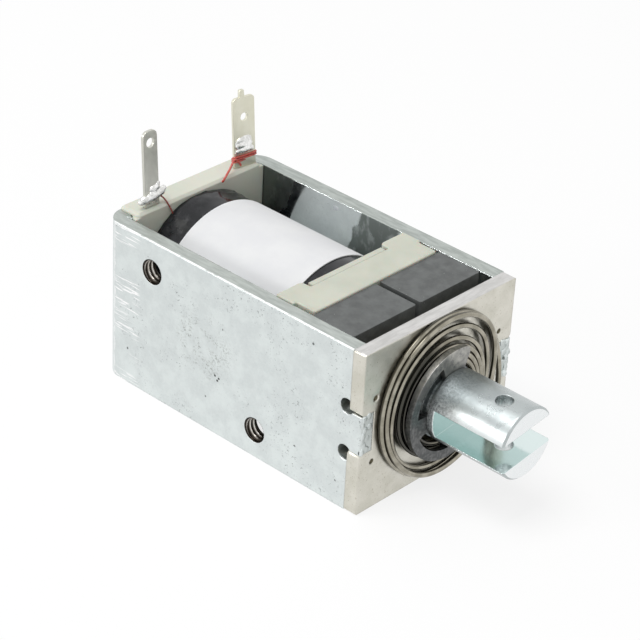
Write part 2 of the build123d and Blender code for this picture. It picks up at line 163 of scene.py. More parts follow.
class Finish:
    """Nodes of one material. Each method adds what it needs and returns its output."""

    def __init__(self, name, colour, roughness, metallic=0.0, **settings):
        self.material = bpy.data.materials.new(name)
        self.material.use_nodes = True
        self.tree = self.material.node_tree
        self.tree.nodes.clear()
        output = self.tree.nodes.new("ShaderNodeOutputMaterial")
        self.shader = self.tree.nodes.new("ShaderNodeBsdfPrincipled")
        self.tree.links.new(self.shader.outputs["BSDF"], output.inputs["Surface"])
        self.shader.inputs["Base Color"].default_value = (*colour, 1)
        self.shader.inputs["Roughness"].default_value = roughness
        self.shader.inputs["Metallic"].default_value = metallic
        for socket, value in settings.items():
            self.shader.inputs[socket.replace("_", " ")].default_value = value
        coordinates = self.tree.nodes.new("ShaderNodeTexCoord")
        scaled = self.tree.nodes.new("ShaderNodeVectorMath")
        scaled.operation = "SCALE"
        scaled.inputs["Scale"].default_value = 1 / MM
        self.tree.links.new(coordinates.outputs["Object"], scaled.inputs[0])
        self.place = scaled.outputs[0]
        self.x, self.y, self.z = (self.split(self.place, axis) for axis in "XYZ")
        self.normal_x, self.normal_y, self.normal_z = (
            self.split(coordinates.outputs["Normal"], axis) for axis in "XYZ"
        )

    def put(self, value, socket):
        """Links an output to a socket, or sets a plain value on it."""
        if isinstance(value, bpy.types.NodeSocket):
            self.tree.links.new(value, socket)
        else:
            socket.default_value = value

    def split(self, vector, axis):
        """One axis of a vector."""
        node = self.tree.nodes.new("ShaderNodeSeparateXYZ")
        self.put(vector, node.inputs[0])
        return node.outputs[axis]

    def shifted(self, offset):
        """Place moved by an offset."""
        node = self.tree.nodes.new("ShaderNodeVectorMath")
        self.put(self.place, node.inputs[0])
        node.inputs[1].default_value = offset
        return node.outputs[0]

    def stretched(self, scale=(1, 1, 1), turn=(0, 0, 0), place=None):
        """Place scaled along each axis and turned by degrees about each."""
        node = self.tree.nodes.new("ShaderNodeMapping")
        self.put(place or self.place, node.inputs["Vector"])
        node.inputs["Rotation"].default_value = [math.radians(a) for a in turn]
        node.inputs["Scale"].default_value = scale
        return node.outputs[0]

    def noise(self, scale, detail=3.0, rough=0.55, place=None):
        """Cloudy noise from 0 to 1, with scale waves to a millimetre."""
        node = self.tree.nodes.new("ShaderNodeTexNoise")
        self.put(place or self.place, node.inputs["Vector"])
        node.inputs["Scale"].default_value = scale
        node.inputs["Detail"].default_value = detail
        node.inputs["Roughness"].default_value = rough
        return node.outputs[0]

    def cells(self, scale):
        """Distance to the nearest of many scattered points."""
        node = self.tree.nodes.new("ShaderNodeTexVoronoi")
        self.put(self.place, node.inputs["Vector"])
        node.inputs["Scale"].default_value = scale
        return node.outputs["Distance"]

    def math(self, operation, a, b=0.0):
        """One step of arithmetic."""
        node = self.tree.nodes.new("ShaderNodeMath")
        node.operation = operation
        self.put(a, node.inputs[0])
        self.put(b, node.inputs[1])
        return node.outputs[0]

    def times(self, first, *others):
        """Product of two or more values."""
        for value in others:
            first = self.math("MULTIPLY", first, value)
        return first

    def plus(self, a, b):
        """Sum of two values."""
        return self.math("ADD", a, b)

    def minus(self, a, b):
        """Difference of two values."""
        return self.math("SUBTRACT", a, b)

    def larger(self, a, b):
        """The larger of two values."""
        return self.math("MAXIMUM", a, b)

    def unsigned(self, value):
        """Size of a value without its sign."""
        return self.math("ABSOLUTE", value)

    def length(self, a, b):
        """Length of the line whose sides are a and b."""
        return self.math("SQRT", self.plus(self.times(a, a), self.times(b, b)))

    def ramp(self, value, low, high, start=0.0, end=1.0):
        """start where value is at or below low, end where it is at or above high."""
        node = self.tree.nodes.new("ShaderNodeMapRange")
        node.interpolation_type = "SMOOTHSTEP"
        self.put(value, node.inputs["Value"])
        node.inputs["From Min"].default_value = low
        node.inputs["From Max"].default_value = high
        node.inputs["To Min"].default_value = start
        node.inputs["To Max"].default_value = end
        return node.outputs["Result"]

    def fall(self, value, low, high):
        """1 where value is at or below low, 0 where it is at or above high."""
        return self.ramp(value, low, high, 1.0, 0.0)

    def between(self, value, low, high, soft):
        """1 from low to high, falling to 0 over soft on both sides."""
        return self.times(self.ramp(value, low - soft, low), self.fall(value, high, high + soft))

    def mix(self, share, a, b):
        """Colour a, or b where share is 1."""
        node = self.tree.nodes.new("ShaderNodeMix")
        node.data_type = "RGBA"
        self.put(share, node.inputs["Factor"])
        for value, socket in ((a, node.inputs[6]), (b, node.inputs[7])):
            self.put(value if isinstance(value, bpy.types.NodeSocket) else (*value, 1), socket)
        return node.outputs[2]

    def bump(self, height, depth, strength=1.0, rounding=0.0):
        """Relief of height, from 0 to 1, over depth in millimetres, on edges eased by rounding."""
        node = self.tree.nodes.new("ShaderNodeBump")
        node.inputs["Strength"].default_value = strength
        node.inputs["Distance"].default_value = depth * MM
        self.put(height, node.inputs["Height"])
        if rounding:
            edge = self.tree.nodes.new("ShaderNodeBevel")
            edge.samples = 6
            edge.inputs["Radius"].default_value = rounding * MM
            self.put(edge.outputs[0], node.inputs["Normal"])
        self.put(node.outputs[0], self.shader.inputs["Normal"])

    def colour(self, value):
        """Sets the surface's colour."""
        self.put(value, self.shader.inputs["Base Color"])

    def roughness(self, value):
        """Sets the surface's roughness."""
        self.put(value, self.shader.inputs["Roughness"])

    def uneven_roughness(self, low, high, scale, detail=3.0):
        """Roughness that wanders from low to high."""
        self.roughness(self.ramp(self.noise(scale, detail), 0.3, 0.7, low, high))


def zinc_pits(f):
    """Scattered pits in the plating of the yoke."""
    return f.times(f.fall(f.cells(0.55), 0.10, 0.14), f.ramp(f.noise(0.3, 2), 0.60, 0.63))


def zinc_scuffs(f, face, outer_near):
    """Scuffed patch on the near plate, with three small nicks below it."""
    centre_x, centre_z, reach = -13.0, 14.0, 7.5
    patch_x = f.times(f.minus(f.x, centre_x), 1 / reach)
    patch_z = f.times(f.minus(f.z, centre_z), 1 / reach)
    patch = f.times(f.fall(f.length(patch_x, patch_z), 0.3, 1.0), outer_near)
    patch = f.times(patch, f.ramp(f.noise(0.42, 4, 0.6), 0.38, 0.58))
    scuffs = f.ramp(f.noise(1.5, 6, 0.78), 0.50, 0.62)
    face = f.mix(f.times(scuffs, patch, 0.42), face, (0.36, 0.37, 0.34))
    specks = f.ramp(f.noise(2.9, 4, 0.7), 0.56, 0.62)
    face = f.mix(f.times(specks, patch, 0.7), face, (0.22, 0.23, 0.21))
    for nick_x, nick_z in ((-10.35, 9.95), (-9.85, 9.30), (-9.55, 9.75)):
        away = f.length(f.minus(f.x, nick_x), f.minus(f.z, nick_z))
        face = f.mix(f.times(f.fall(away, 0.13, 0.24), outer_near), face, (0.05, 0.055, 0.05))
    return face


def zinc_bend_scratches(f, outer_near):
    """Bright scratches beside the rear bend of the near plate, and the bend's own line."""
    slanted = f.stretched((0.22, 1.0, 3.0), (0, 21, 0))
    scratch = f.ramp(f.noise(1.3, 2, 0.5, slanted), 0.55, 0.62)
    by_bend = f.between(f.x, rear_x + 3.0, rear_x + 7.2, 1.2)
    patches = f.ramp(f.noise(0.20, 1, 0.4, f.stretched((0.2, 1, 1))), 0.42, 0.52)
    scratched = f.times(scratch, by_bend, patches, outer_near)
    wavy = f.plus(f.x, f.times(f.noise(0.9, 3, 0.6), 1.6))
    bend_line = f.times(f.between(wavy, rear_x + 2.6, rear_x + 3.0, 0.35), outer_near)
    return f.larger(scratched, f.times(bend_line, 0.7))


def zinc_edges(f):
    """Where the yoke's strip is sheared, and the colour there, painted lighter on the near side,
    with a painted highlight along the near outer rim.
    """
    edge_grain = f.noise(1.1, 5, 0.65, f.stretched((0.3, 1.6, 1)))
    edge = f.mix(f.ramp(edge_grain, 0.3, 0.7), (0.36, 0.39, 0.37), (0.50, 0.535, 0.51))
    # Painted light: the sheared edges on the near side are painted lighter
    edge = f.mix(f.ramp(f.y, -2, 2, 0.12, 0.0), edge, (0.64, 0.67, 0.65))
    top_edge = f.ramp(f.normal_z, 0.80, 0.97)
    by_front = f.ramp(f.x, front_x - 3.5, front_x - 2.5)
    cut = f.larger(top_edge, f.times(f.ramp(f.normal_x, 0.80, 0.97), by_front, 0.5))
    # Painted highlight along the near plate's outer top edge
    rim = f.times(cut, f.fall(f.y, 0.27 - half_width, 0.37 - half_width))
    broken = f.ramp(f.noise(0.8, 3), 0.3, 0.5, 0.3, 1.0)
    return cut, f.mix(f.times(rim, broken), edge, (0.96, 0.98, 0.98))


def zinc_inside_shade(f, inside):
    """Painted shade and dark reflection on the plates' insides, at the rear and beside the magnets'
    holder.
    """
    wander = f.plus(f.x, f.times(f.minus(f.noise(0.22, 4, 0.6), 0.5), 5.0))
    lean = f.plus(wander, f.times(f.minus(frame_height, f.z), 0.45))
    rear_shade = f.fall(lean, rear_x + 10.6, rear_x + 12.0)
    holder_shade = f.between(lean, front_x - 27.6, front_x - 20.0, 0.5)
    shade_patches = f.ramp(f.noise(0.45, 4, 0.6, f.stretched((1, 1, 0.6))), 0.5, 0.7, 1.0, 0.55)
    return f.times(f.larger(rear_shade, holder_shade), inside, shade_patches)


def zinc_finish():
    """Bright zinc plate on rolled strip, with grey sheared edges and insides like mirrors."""
    f = Finish("zinc_steel", (0.66, 0.69, 0.695), 0.4, metallic=1.0)
    cloud = f.ramp(f.noise(0.35, 6, 0.62), 0.36, 0.66)
    grain = f.ramp(f.noise(2.2, 6, 0.7), 0.3, 0.72)
    face = f.mix(cloud, (0.645, 0.69, 0.685), (0.725, 0.775, 0.765))
    face = f.mix(f.times(grain, 0.30), face, (0.80, 0.83, 0.83))
    clusters = f.ramp(f.noise(0.16, 2, 0.5), 0.46, 0.62)
    pores = f.times(f.ramp(f.noise(2.6, 4, 0.7), 0.60, 0.66), clusters)
    face = f.mix(f.times(pores, 0.8), face, (0.26, 0.28, 0.28))
    pits = zinc_pits(f)
    face = f.mix(f.times(pits, 0.9), face, (0.10, 0.11, 0.11))
    outer_near = f.fall(f.y, 0.1 - half_width, 0.4 - half_width)
    face = zinc_scuffs(f, face, outer_near)
    face = f.mix(zinc_bend_scratches(f, outer_near), face, (1.0, 1.0, 1.0))
    cut, edge = zinc_edges(f)
    inner_face = half_width - WALL
    inside = f.fall(f.unsigned(f.y), inner_face + 0.05, inner_face + 0.3)
    inside = f.times(inside, f.ramp(f.x, rear_x + WALL + 0.1, rear_x + WALL + 0.3))
    # film marks where the plates' insides get painted shade and dark reflection
    film = zinc_inside_shade(f, inside)
    face = f.mix(f.times(film, 0.9), face, (0.14, 0.16, 0.148))
    f.colour(f.mix(cut, face, edge))
    mirror = f.plus(f.ramp(f.noise(0.35, 3, 0.5), 0.35, 0.7, 0.10, 0.20), f.times(film, 0.3))
    satin = f.plus(f.ramp(f.noise(0.5, 4), 0.3, 0.7, 0.30, 0.42), f.times(cut, 0.12))
    outside = f.minus(1.0, inside)
    f.roughness(f.plus(f.times(mirror, inside), f.times(satin, outside)))
    relief = f.minus(f.noise(2.6, 4, 0.6), f.times(pits, 0.8))
    f.bump(f.times(relief, outside), 0.03, 0.35, 0.25)
    return f.material


def plate_finish():
    """Warmer plating of the front plate, greyer along its cut top, with painted shade in its punch
    marks.
    """
    f = Finish("plate_steel", (0.58, 0.565, 0.49), 0.4, metallic=1.0)
    cloud = f.ramp(f.noise(0.35, 5, 0.6), 0.34, 0.68)
    face = f.mix(cloud, (0.60, 0.585, 0.51), (0.70, 0.68, 0.61))
    grain = f.ramp(f.noise(2.2, 6, 0.7), 0.3, 0.72)
    face = f.mix(f.times(grain, 0.35), face, (0.72, 0.70, 0.63))
    pores = f.ramp(f.noise(3.6, 3, 0.6), 0.63, 0.70)
    face = f.mix(f.times(pores, 0.7), face, (0.33, 0.29, 0.20))
    below_face = f.fall(f.x, front_x - 0.16, front_x - 0.05)
    marks = f.times(below_face, f.ramp(f.x, front_x - 1.0, front_x - 0.9))
    not_side = f.fall(f.unsigned(f.normal_y), 0.97, 0.99)
    inboard = f.fall(f.unsigned(f.y), half_width - 2.3, half_width - 2.1)
    # Painted shade: the punch marks are painted near black
    face = f.mix(f.times(marks, not_side, inboard), face, (0.10, 0.09, 0.06))
    edge_grain = f.ramp(f.noise(0.8, 5, 0.65, f.stretched((1.6, 0.3, 1))), 0.3, 0.7)
    edge = f.mix(edge_grain, (0.54, 0.535, 0.52), (0.70, 0.69, 0.68))
    f.colour(f.mix(f.ramp(f.normal_z, 0.7, 0.97), face, edge))
    f.uneven_roughness(0.28, 0.42, 0.6, 4)
    f.bump(f.noise(2.4, 5, 0.65), 0.03, 0.4, 0.35)
    return f.material


def plunger_finish():
    """Zinc plate on turned steel, grainy beside the ring, with a greenish cast in the slot."""
    f = Finish("plunger_steel", (0.78, 0.81, 0.83), 0.25, metallic=1.0)
    ring_x = ring_high.x
    grain = f.noise(3.0, 5, 0.7)
    cloud = f.ramp(f.noise(0.3, 3), 0.35, 0.65)
    face = f.mix(cloud, (0.285, 0.32, 0.325), (0.40, 0.44, 0.44))
    # Painted highlight on the side towards -Y, and painted shade on the top
    painted_side_highlight = f.ramp(f.normal_y, -0.97, -0.72, 0.8, 0.0)
    face = f.mix(painted_side_highlight, face, (0.78, 0.81, 0.81))
    painted_top_shade = f.times(f.ramp(f.normal_z, 0.45, 0.95), f.ramp(f.x, ring_x + 4, ring_x + 11, 0.45, 0.1))
    face = f.mix(painted_top_shade, face, (0.21, 0.235, 0.24))
    wear_and_painted_light = f.ramp(f.x, ring_x + 3.5, ring_x + 10.0, 0.0, 0.4)
    face = f.mix(wear_and_painted_light, face, (0.66, 0.70, 0.70))
    by_ring = f.fall(f.x, ring_x + 0.5, ring_x + 7.0)
    mottle = f.times(f.ramp(grain, 0.42, 0.62), by_ring)
    face = f.mix(f.times(mottle, 0.8), face, (0.15, 0.17, 0.175))
    # The end faces are cut bright, and the pin's hole is painted lighter inside as a painted
    # highlight
    ends = f.times(f.ramp(f.normal_x, 0.8, 0.95), f.ramp(f.x, fork_end_x - 0.6, fork_end_x - 0.3))
    from_pin = f.shifted((PIN_FROM_END - fork_end_x, 0, -axis_z))
    upright = f.stretched(turn=(-FORK_TURN, 0, 0), place=from_pin)
    along, aside, across = (f.split(upright, axis) for axis in "XYZ")
    in_hole = f.ramp(f.length(along, aside), PIN_RADIUS + 0.01, PIN_RADIUS + 0.045, 0.38, 0.0)
    face = f.mix(f.larger(ends, in_hole), face, (0.86, 0.885, 0.89))
    in_slot = f.fall(f.unsigned(across), SLOT_HALF - 0.04, SLOT_HALF + 0.01)
    slot_end_x = fork_end_x - SLOT_LENGTH
    in_slot = f.times(in_slot, f.ramp(f.x, slot_end_x, slot_end_x + 0.3))
    f.colour(f.mix(in_slot, face, (0.735, 0.83, 0.82)))
    skin = f.plus(f.ramp(f.noise(0.8, 3), 0.3, 0.7, 0.25, 0.33), f.times(by_ring, 0.10))
    f.roughness(f.times(skin, f.minus(1.0, f.times(in_slot, 0.62))))
    rough = f.times(f.plus(by_ring, 0.15), f.minus(1.0, in_slot))
    f.bump(f.times(grain, rough), 0.10, 0.8, 0.14)
    return f.material


def ring_finish():
    """Dark phosphated spring steel, painted lighter towards the top as painted light."""
    f = Finish("ring_steel", (0.12, 0.12, 0.12), 0.36, metallic=0.85)
    # Painted light: the upper part of the ring is painted lighter
    upper = f.ramp(f.z, axis_z + 3, axis_z + 8)
    wear_and_painted_light = f.times(upper, f.ramp(f.noise(0.5, 3), 0.3, 0.6, 0.5, 1.0))
    face = f.mix(wear_and_painted_light, (0.085, 0.09, 0.09), (0.60, 0.59, 0.54))
    f.colour(f.mix(f.ramp(f.noise(2.0, 4), 0.35, 0.75), face, (0.20, 0.20, 0.20)))
    f.uneven_roughness(0.28, 0.42, 1.2)
    f.bump(f.noise(3.0, 4), 0.02, 0.4)
    return f.material


def spring_finish():
    """Drawn spring wire, warm and bright, with painted shade on its flanks and a painted shadow on
    the inner turns behind the ring.
    """
    f = Finish("spring_steel", (0.36, 0.34, 0.28), 0.15, metallic=1.0)
    tone = f.ramp(f.noise(0.5, 3), 0.35, 0.65)
    wire = f.mix(tone, (0.28, 0.262, 0.21), (0.41, 0.385, 0.32))
    # Painted shade on the flanks, between one turn and the next
    wire = f.mix(f.fall(f.normal_x, 0.15, 0.62), wire, (0.075, 0.07, 0.055))
    # Painted shadow of the ring on the inner turns
    radius = f.length(f.y, f.minus(f.z, axis_z))
    painted_ring_shadow = f.times(f.fall(radius, 9.7, 10.9), f.fall(f.y, -5.0, 1.0))
    f.colour(f.mix(f.times(painted_ring_shadow, 0.92), wire, (0.04, 0.04, 0.035)))
    f.uneven_roughness(0.08, 0.16, 1.2)
    return f.material


def nylon_finish():
    """Natural nylon, cream and a little translucent, paler on the bobbin than on the holder."""
    settings = {"Subsurface_Weight": 0.18, "Subsurface_Scale": 1.5 * MM}
    f = Finish("nylon", (0.74, 0.75, 0.65), 0.42, **settings)
    tone = f.ramp(f.noise(0.12, 3), 0.3, 0.7)
    face = f.mix(tone, (0.52, 0.54, 0.455), (0.61, 0.62, 0.53))
    paler = f.ramp(f.x, bobbin_low.x + 4.0, bobbin_low.x + 8.0, 0.5, 0.0)
    f.colour(f.mix(paler, face, (0.74, 0.745, 0.655)))
    f.uneven_roughness(0.36, 0.5, 0.7)
    f.bump(f.noise(1.4, 3), 0.03, 0.35, 0.3)
    return f.material


def magnet_finish():
    """Ground ferrite with a few pale chips."""
    f = Finish("magnet_ferrite", (0.10, 0.105, 0.105), 0.55)
    tone = f.ramp(f.noise(0.5, 5, 0.6), 0.3, 0.7)
    face = f.mix(tone, (0.083, 0.088, 0.087), (0.124, 0.132, 0.130))
    chips = f.times(f.fall(f.cells(1.3), 0.05, 0.075), f.ramp(f.noise(0.9, 2), 0.55, 0.6))
    f.colour(f.mix(chips, face, (0.55, 0.55, 0.54)))
    f.uneven_roughness(0.45, 0.62, 0.9, 4)
    f.bump(f.noise(3.5, 4), 0.03, 0.4)
    return f.material


def tape_finish():
    """Glossy black film tape."""
    f = Finish("black_tape", (0.028, 0.028, 0.032), 0.22, Specular_IOR_Level=0.36)
    tone = f.ramp(f.noise(0.8, 4), 0.4, 0.7)
    f.colour(f.mix(tone, (0.008, 0.009, 0.011), (0.020, 0.021, 0.024)))
    f.uneven_roughness(0.10, 0.20, 1.0, 4)
    f.bump(f.noise(0.5, 3, 0.5, f.stretched((0.5, 1, 1))), 0.10, 0.3)
    return f.material


def wrap_finish():
    """Matt white paper."""
    f = Finish("white_wrap", (0.84, 0.84, 0.88), 0.85)
    f.colour(f.mix(f.ramp(f.noise(0.2, 3), 0.3, 0.7), (0.75, 0.755, 0.77), (0.79, 0.795, 0.80)))
    f.uneven_roughness(0.78, 0.9, 4.0)
    f.bump(f.noise(6.0, 4, 0.6), 0.01, 0.3)
    return f.material


def terminal_finish():
    """Tinned brass: the near tab is greyer and the far one has more yellow in it."""
    f = Finish("tinned_brass", (0.66, 0.66, 0.60), 0.26, metallic=1.0)
    tone = f.mix(f.ramp(f.y, -2, 2), (0.56, 0.56, 0.51), (0.70, 0.685, 0.56))
    streak = f.ramp(f.noise(0.5, 4, 0.6, f.stretched((1, 1, 0.25))), 0.35, 0.7)
    f.colour(f.mix(f.times(streak, 0.25), tone, (0.84, 0.83, 0.75)))
    f.uneven_roughness(0.30, 0.40, 1.2)
    f.bump(f.noise(0.6, 2), 0.04, 0.3)
    return f.material


def solder_finish():
    """Bright solder with a frosted skin in places."""
    f = Finish("solder_tin", (0.86, 0.86, 0.84), 0.18, metallic=1.0)
    f.colour(f.mix(f.ramp(f.noise(1.2, 4), 0.4, 0.65), (0.70, 0.70, 0.68), (0.95, 0.95, 0.94)))
    f.roughness(f.ramp(f.noise(0.9, 3), 0.35, 0.7, 0.16, 0.36))
    f.bump(f.noise(1.0, 3), 0.06, 0.35)
    return f.material


def enamel_finish():
    """Red enamel on copper wire, browner on the near lead."""
    settings = {"Coat_Weight": 0.5, "Coat_Roughness": 0.08}
    f = Finish("red_enamel", (0.62, 0.07, 0.05), 0.22, **settings)
    bright = f.mix(f.ramp(f.noise(1.5, 3), 0.4, 0.7), (0.50, 0.05, 0.035), (0.72, 0.12, 0.08))
    f.colour(f.mix(f.ramp(f.y, -2, 2, 0.75, 0.0), bright, (0.17, 0.045, 0.03)))
    f.uneven_roughness(0.16, 0.3, 2.0, 2)
    return f.material


def copper_finish():
    """Wound copper wire, one fine groove for each turn."""
    wire_pitch = 0.4
    f = Finish("copper_wire", (0.72, 0.36, 0.20), 0.3, metallic=1.0)
    turns = f.math("SINE", f.times(f.x, 2 * math.pi / wire_pitch))
    # Painted shade: each groove between the turns is painted darker
    f.colour(f.mix(f.ramp(turns, -1, 1), (0.45, 0.20, 0.10), (0.80, 0.42, 0.24)))
    f.uneven_roughness(0.22, 0.36, 1.0, 2)
    f.bump(turns, 0.05, 0.6)
    return f.material


def turned_finish(name, dark, light, pitch):
    """Turned or drawn metal with fine rings about the plunger's axis."""
    f = Finish(name, light, 0.28, metallic=1.0)
    rings = f.noise(1 / pitch, 2, 0.5, f.stretched((1, 0.02, 0.02)))
    f.colour(f.mix(f.ramp(rings, 0.3, 0.7), dark, light))
    f.roughness(f.ramp(rings, 0.3, 0.7, 0.22, 0.36))
    f.bump(rings, 0.01, 0.4)
    return f.material


def thread_finish():
    """Cut thread: bright crests, painted brightest on their rearward half as a painted highlight,
    over roots painted near black as painted shade.
    """
    f = Finish("dark_thread", (0.30, 0.27, 0.24), 0.2, metallic=1.0)
    crests = []
    for hole_x, hole_z in THREADED_HOLES:
        across = f.minus(f.x, hole_x)
        radius = f.length(across, f.minus(f.z, hole_z))
        # Painted highlight: the crests are brighter on their rearward half
        crests.append(f.times(f.fall(radius, 1.62, 1.86), f.ramp(across, -0.9, 0.5, 1.0, 0.05)))
    shade = f.mix(f.ramp(f.noise(1.0, 2), 0.35, 0.65), (0.62, 0.58, 0.52), (0.80, 0.77, 0.72))
    # Painted shade: the roots are near black
    f.colour(f.mix(f.larger(*crests), (0.025, 0.02, 0.016), shade))
    f.uneven_roughness(0.18, 0.3, 2.0)
    return f.material


FINISHES = {
    "zinc_steel": zinc_finish(),
    "plate_steel": plate_finish(),
    "plunger_steel": plunger_finish(),
    "ring_steel": ring_finish(),
    "spring_steel": spring_finish(),
    "nylon": nylon_finish(),
    "magnet_ferrite": magnet_finish(),
    "black_tape": tape_finish(),
    "white_wrap": wrap_finish(),
    "copper_wire": copper_finish(),
    "red_enamel": enamel_finish(),
    "tinned_brass": terminal_finish(),
    "solder_tin": solder_finish(),
    "tube_brass": turned_finish("tube_brass", (0.60, 0.46, 0.22), (0.78, 0.64, 0.36), 0.2),
    "core_steel": turned_finish("core_steel", (0.60, 0.63, 0.65), (0.80, 0.82, 0.84), 0.25),
    "dark_thread": thread_finish(),
}


def dress_nodes():
    """Gives every CAD node the finish of its slot in the record."""
    for part in frame["record"]["subparts"]:
        node = frame["nodes"][part["node"]]
        node.data.materials.clear()
        node.data.materials.append(FINISHES[part["material_slot"]])


# How far the edges of each CAD node are rounded
EDGE_WIDTHS = {
    "frame_yoke": 0.22, "front_plate": 0.28, "plunger": 0.12, "retaining_ring": 0.08,
    "bobbin": 0.18, "magnet_holder": 0.2, "magnet_near": 0.12, "magnet_far": 0.12,
    "guide_tube": 0.05, "fixed_core": 0.1, "coil_wrap": 0.05,
}


def soften(node, width):
    """Rounds the edges of a CAD node over width millimetres, and shades its curves smoothly."""
    piece = frame["nodes"][node]
    weld = piece.modifiers.new("weld", "WELD")
    weld.merge_threshold = 0.001 * MM
    flat = piece.modifiers.new("flat", "DECIMATE")
    flat.decimate_type = "DISSOLVE"
    flat.angle_limit = math.radians(1.0)
    bevel = piece.modifiers.new("bevel", "BEVEL")
    bevel.width = width * MM
    bevel.segments = 2
    bevel.limit_method = "ANGLE"
    bevel.angle_limit = math.radians(40)
    bevel.miter_outer = "MITER_ARC"
    piece.data.shade_smooth()
    evened = piece.modifiers.new("evened", "WEIGHTED_NORMAL")
    evened.keep_sharp = True


# Return spring: turns from the small end to the large one, each knot as turns, radius and height
WIRE_RADIUS = 0.41
SPRING_ROUTE = (
    (0.0, 6.32, 1.52), (0.5, 6.60, 1.50), (1.0, 7.10, 1.45), (1.5, 7.60, 1.40),
    (2.0, 7.95, 1.35), (2.25, 8.35, 1.30), (2.5, 8.35, 1.25), (2.625, 8.20, 1.24),
    (2.75, 8.35, 1.22), (3.0, 8.62, 1.15), (3.125, 9.20, 1.10), (3.25, 9.50, 1.05),
    (3.5, 9.30, 1.05), (3.625, 8.75, 1.05), (3.75, 9.00, 1.00), (4.0, 9.72, 0.95),
    (4.125, 11.05, 0.90), (4.25, 11.20, 0.88), (4.375, 10.80, 0.85), (4.5, 10.52, 0.80),
    (4.625, 10.85, 0.60), (4.75, 11.40, 0.48), (4.875, 11.75, 0.50), (5.0, 11.40, 0.90),
    (5.125, 12.75, 1.10), (5.25, 13.00, 1.15), (5.375, 12.40, 0.95), (5.5, 11.52, 0.80),
    (5.625, 11.50, 1.36), (5.75, 12.25, 1.36), (5.875, 12.70, 1.38), (5.95, 12.75, 1.38),
    (6.06, 12.80, 0.47), (6.25, 13.10, 0.47), (6.375, 13.00, 0.47), (6.5, 12.28, 0.47),
    (6.625, 11.80, 0.47), (6.75, 12.60, 0.47), (6.875, 12.80, 0.47), (6.91, 12.80, 0.47),
)


def make_spring():
    """Conical spring pressed flat, its outer turns lying askew as they do on the plate."""
    sides, steps_to_turn = 20, 96
    flat_outside, flat_inside = 0.9, 0.8
    knots = [Vector(k) for k in SPRING_ROUTE]
    spans = []
    for i in range(len(knots) - 1):
        steps = max(4, round((knots[i + 1].x - knots[i].x) * steps_to_turn))
        segment = through(knots[max(i - 1, 0) : i + 3], steps)
        start = steps if i else 0
        spans += segment[start : start + steps]
    spans.append(knots[-1])
    line = []
    for turns, radius, height in spans:
        angle = 2 * math.pi * turns
        y, z = radius * math.cos(angle), axis_z + radius * math.sin(angle)
        line.append(Vector((front_x + height, y, z)))
    mesh = mesh_of("spring_wire", *tube(line, WIRE_RADIUS, sides, 3))
    finish = FINISHES["spring_steel"]
    spring = new_object("spring_wire", mesh, finish, None, ["return_spring"])
    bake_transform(spring)
    # Share of the way from the inner flat turns to the outer ones, for every point of each section
    share = []
    last_turn = knots[-1].x
    for turns, radius, height in spans:
        t = (last_turn - flat_outside - turns) / (last_turn - flat_outside - flat_inside)
        share += [min(1.0, max(0.0, t))] * sides


def make_thread(name, x, z):
    """Crests of the thread in a tapped hole through the near side plate."""
    hole_radius, crest_depth, pitch, shell_radius = 1.99, 0.40, 0.75, 2.02
    inset, run_out = 0.01, 0.35
    around, along = 72, 40
    points, faces = [], []
    for j in range(along + 1):
        y = -half_width + inset + (WALL - 2 * inset) * j / along
        from_face = min(y + half_width, WALL - (y + half_width))
        fade = min(1.0, from_face / run_out)
        for k in range(around):
            turn = 2 * math.pi * k / around
            phase = ((y / pitch) + k / around) % 1.0
            crest = max(0.0, 1 - abs(phase - 0.5) * 2.25) ** 0.9
            radius = hole_radius - crest_depth * crest * fade
            points.append(Vector((x + radius * math.cos(turn), y, z + radius * math.sin(turn))))
    for j in range(along):
        for k in range(around):
            n = (k + 1) % around
            a, b = j * around, (j + 1) * around
            faces.append((a + k, b + k, b + n, a + n))
    outer = len(points)
    for j in (0, along):
        for k in range(around):
            turn = 2 * math.pi * k / around
            y = points[j * around + k].y
            side, rise = shell_radius * math.cos(turn), shell_radius * math.sin(turn)
            points.append(Vector((x + side, y, z + rise)))
    for k in range(around):
        n = (k + 1) % around
        front, back = outer + k, outer + around + k
        front_n, back_n = outer + n, outer + around + n
        faces.append((k, n, front_n, front))
        faces.append((along * around + n, along * around + k, back, back_n))
        faces.append((front, front_n, back_n, back))
    new_object(name, mesh_of(name, points, faces), FINISHES["dark_thread"], "frame")


def ball(centre, radii, first, rings=14, around=20):
    """Points and faces of an ellipsoid, its points numbered from first."""
    points, faces = [], []
    for i in range(rings + 1):
        rise = math.pi * i / rings
        for k in range(around):
            turn = 2 * math.pi * k / around
            x = centre[0] + radii[0] * math.sin(rise) * math.cos(turn)
            y = centre[1] + radii[1] * math.sin(rise) * math.sin(turn)
            points.append((x, y, centre[2] + radii[2] * math.cos(rise)))
    for i in range(rings):
        for k in range(around):
            n = (k + 1) % around
            a, b = first + i * around, first + (i + 1) * around
            faces.append((a + k, b + k, b + n, a + n))
    return points, faces


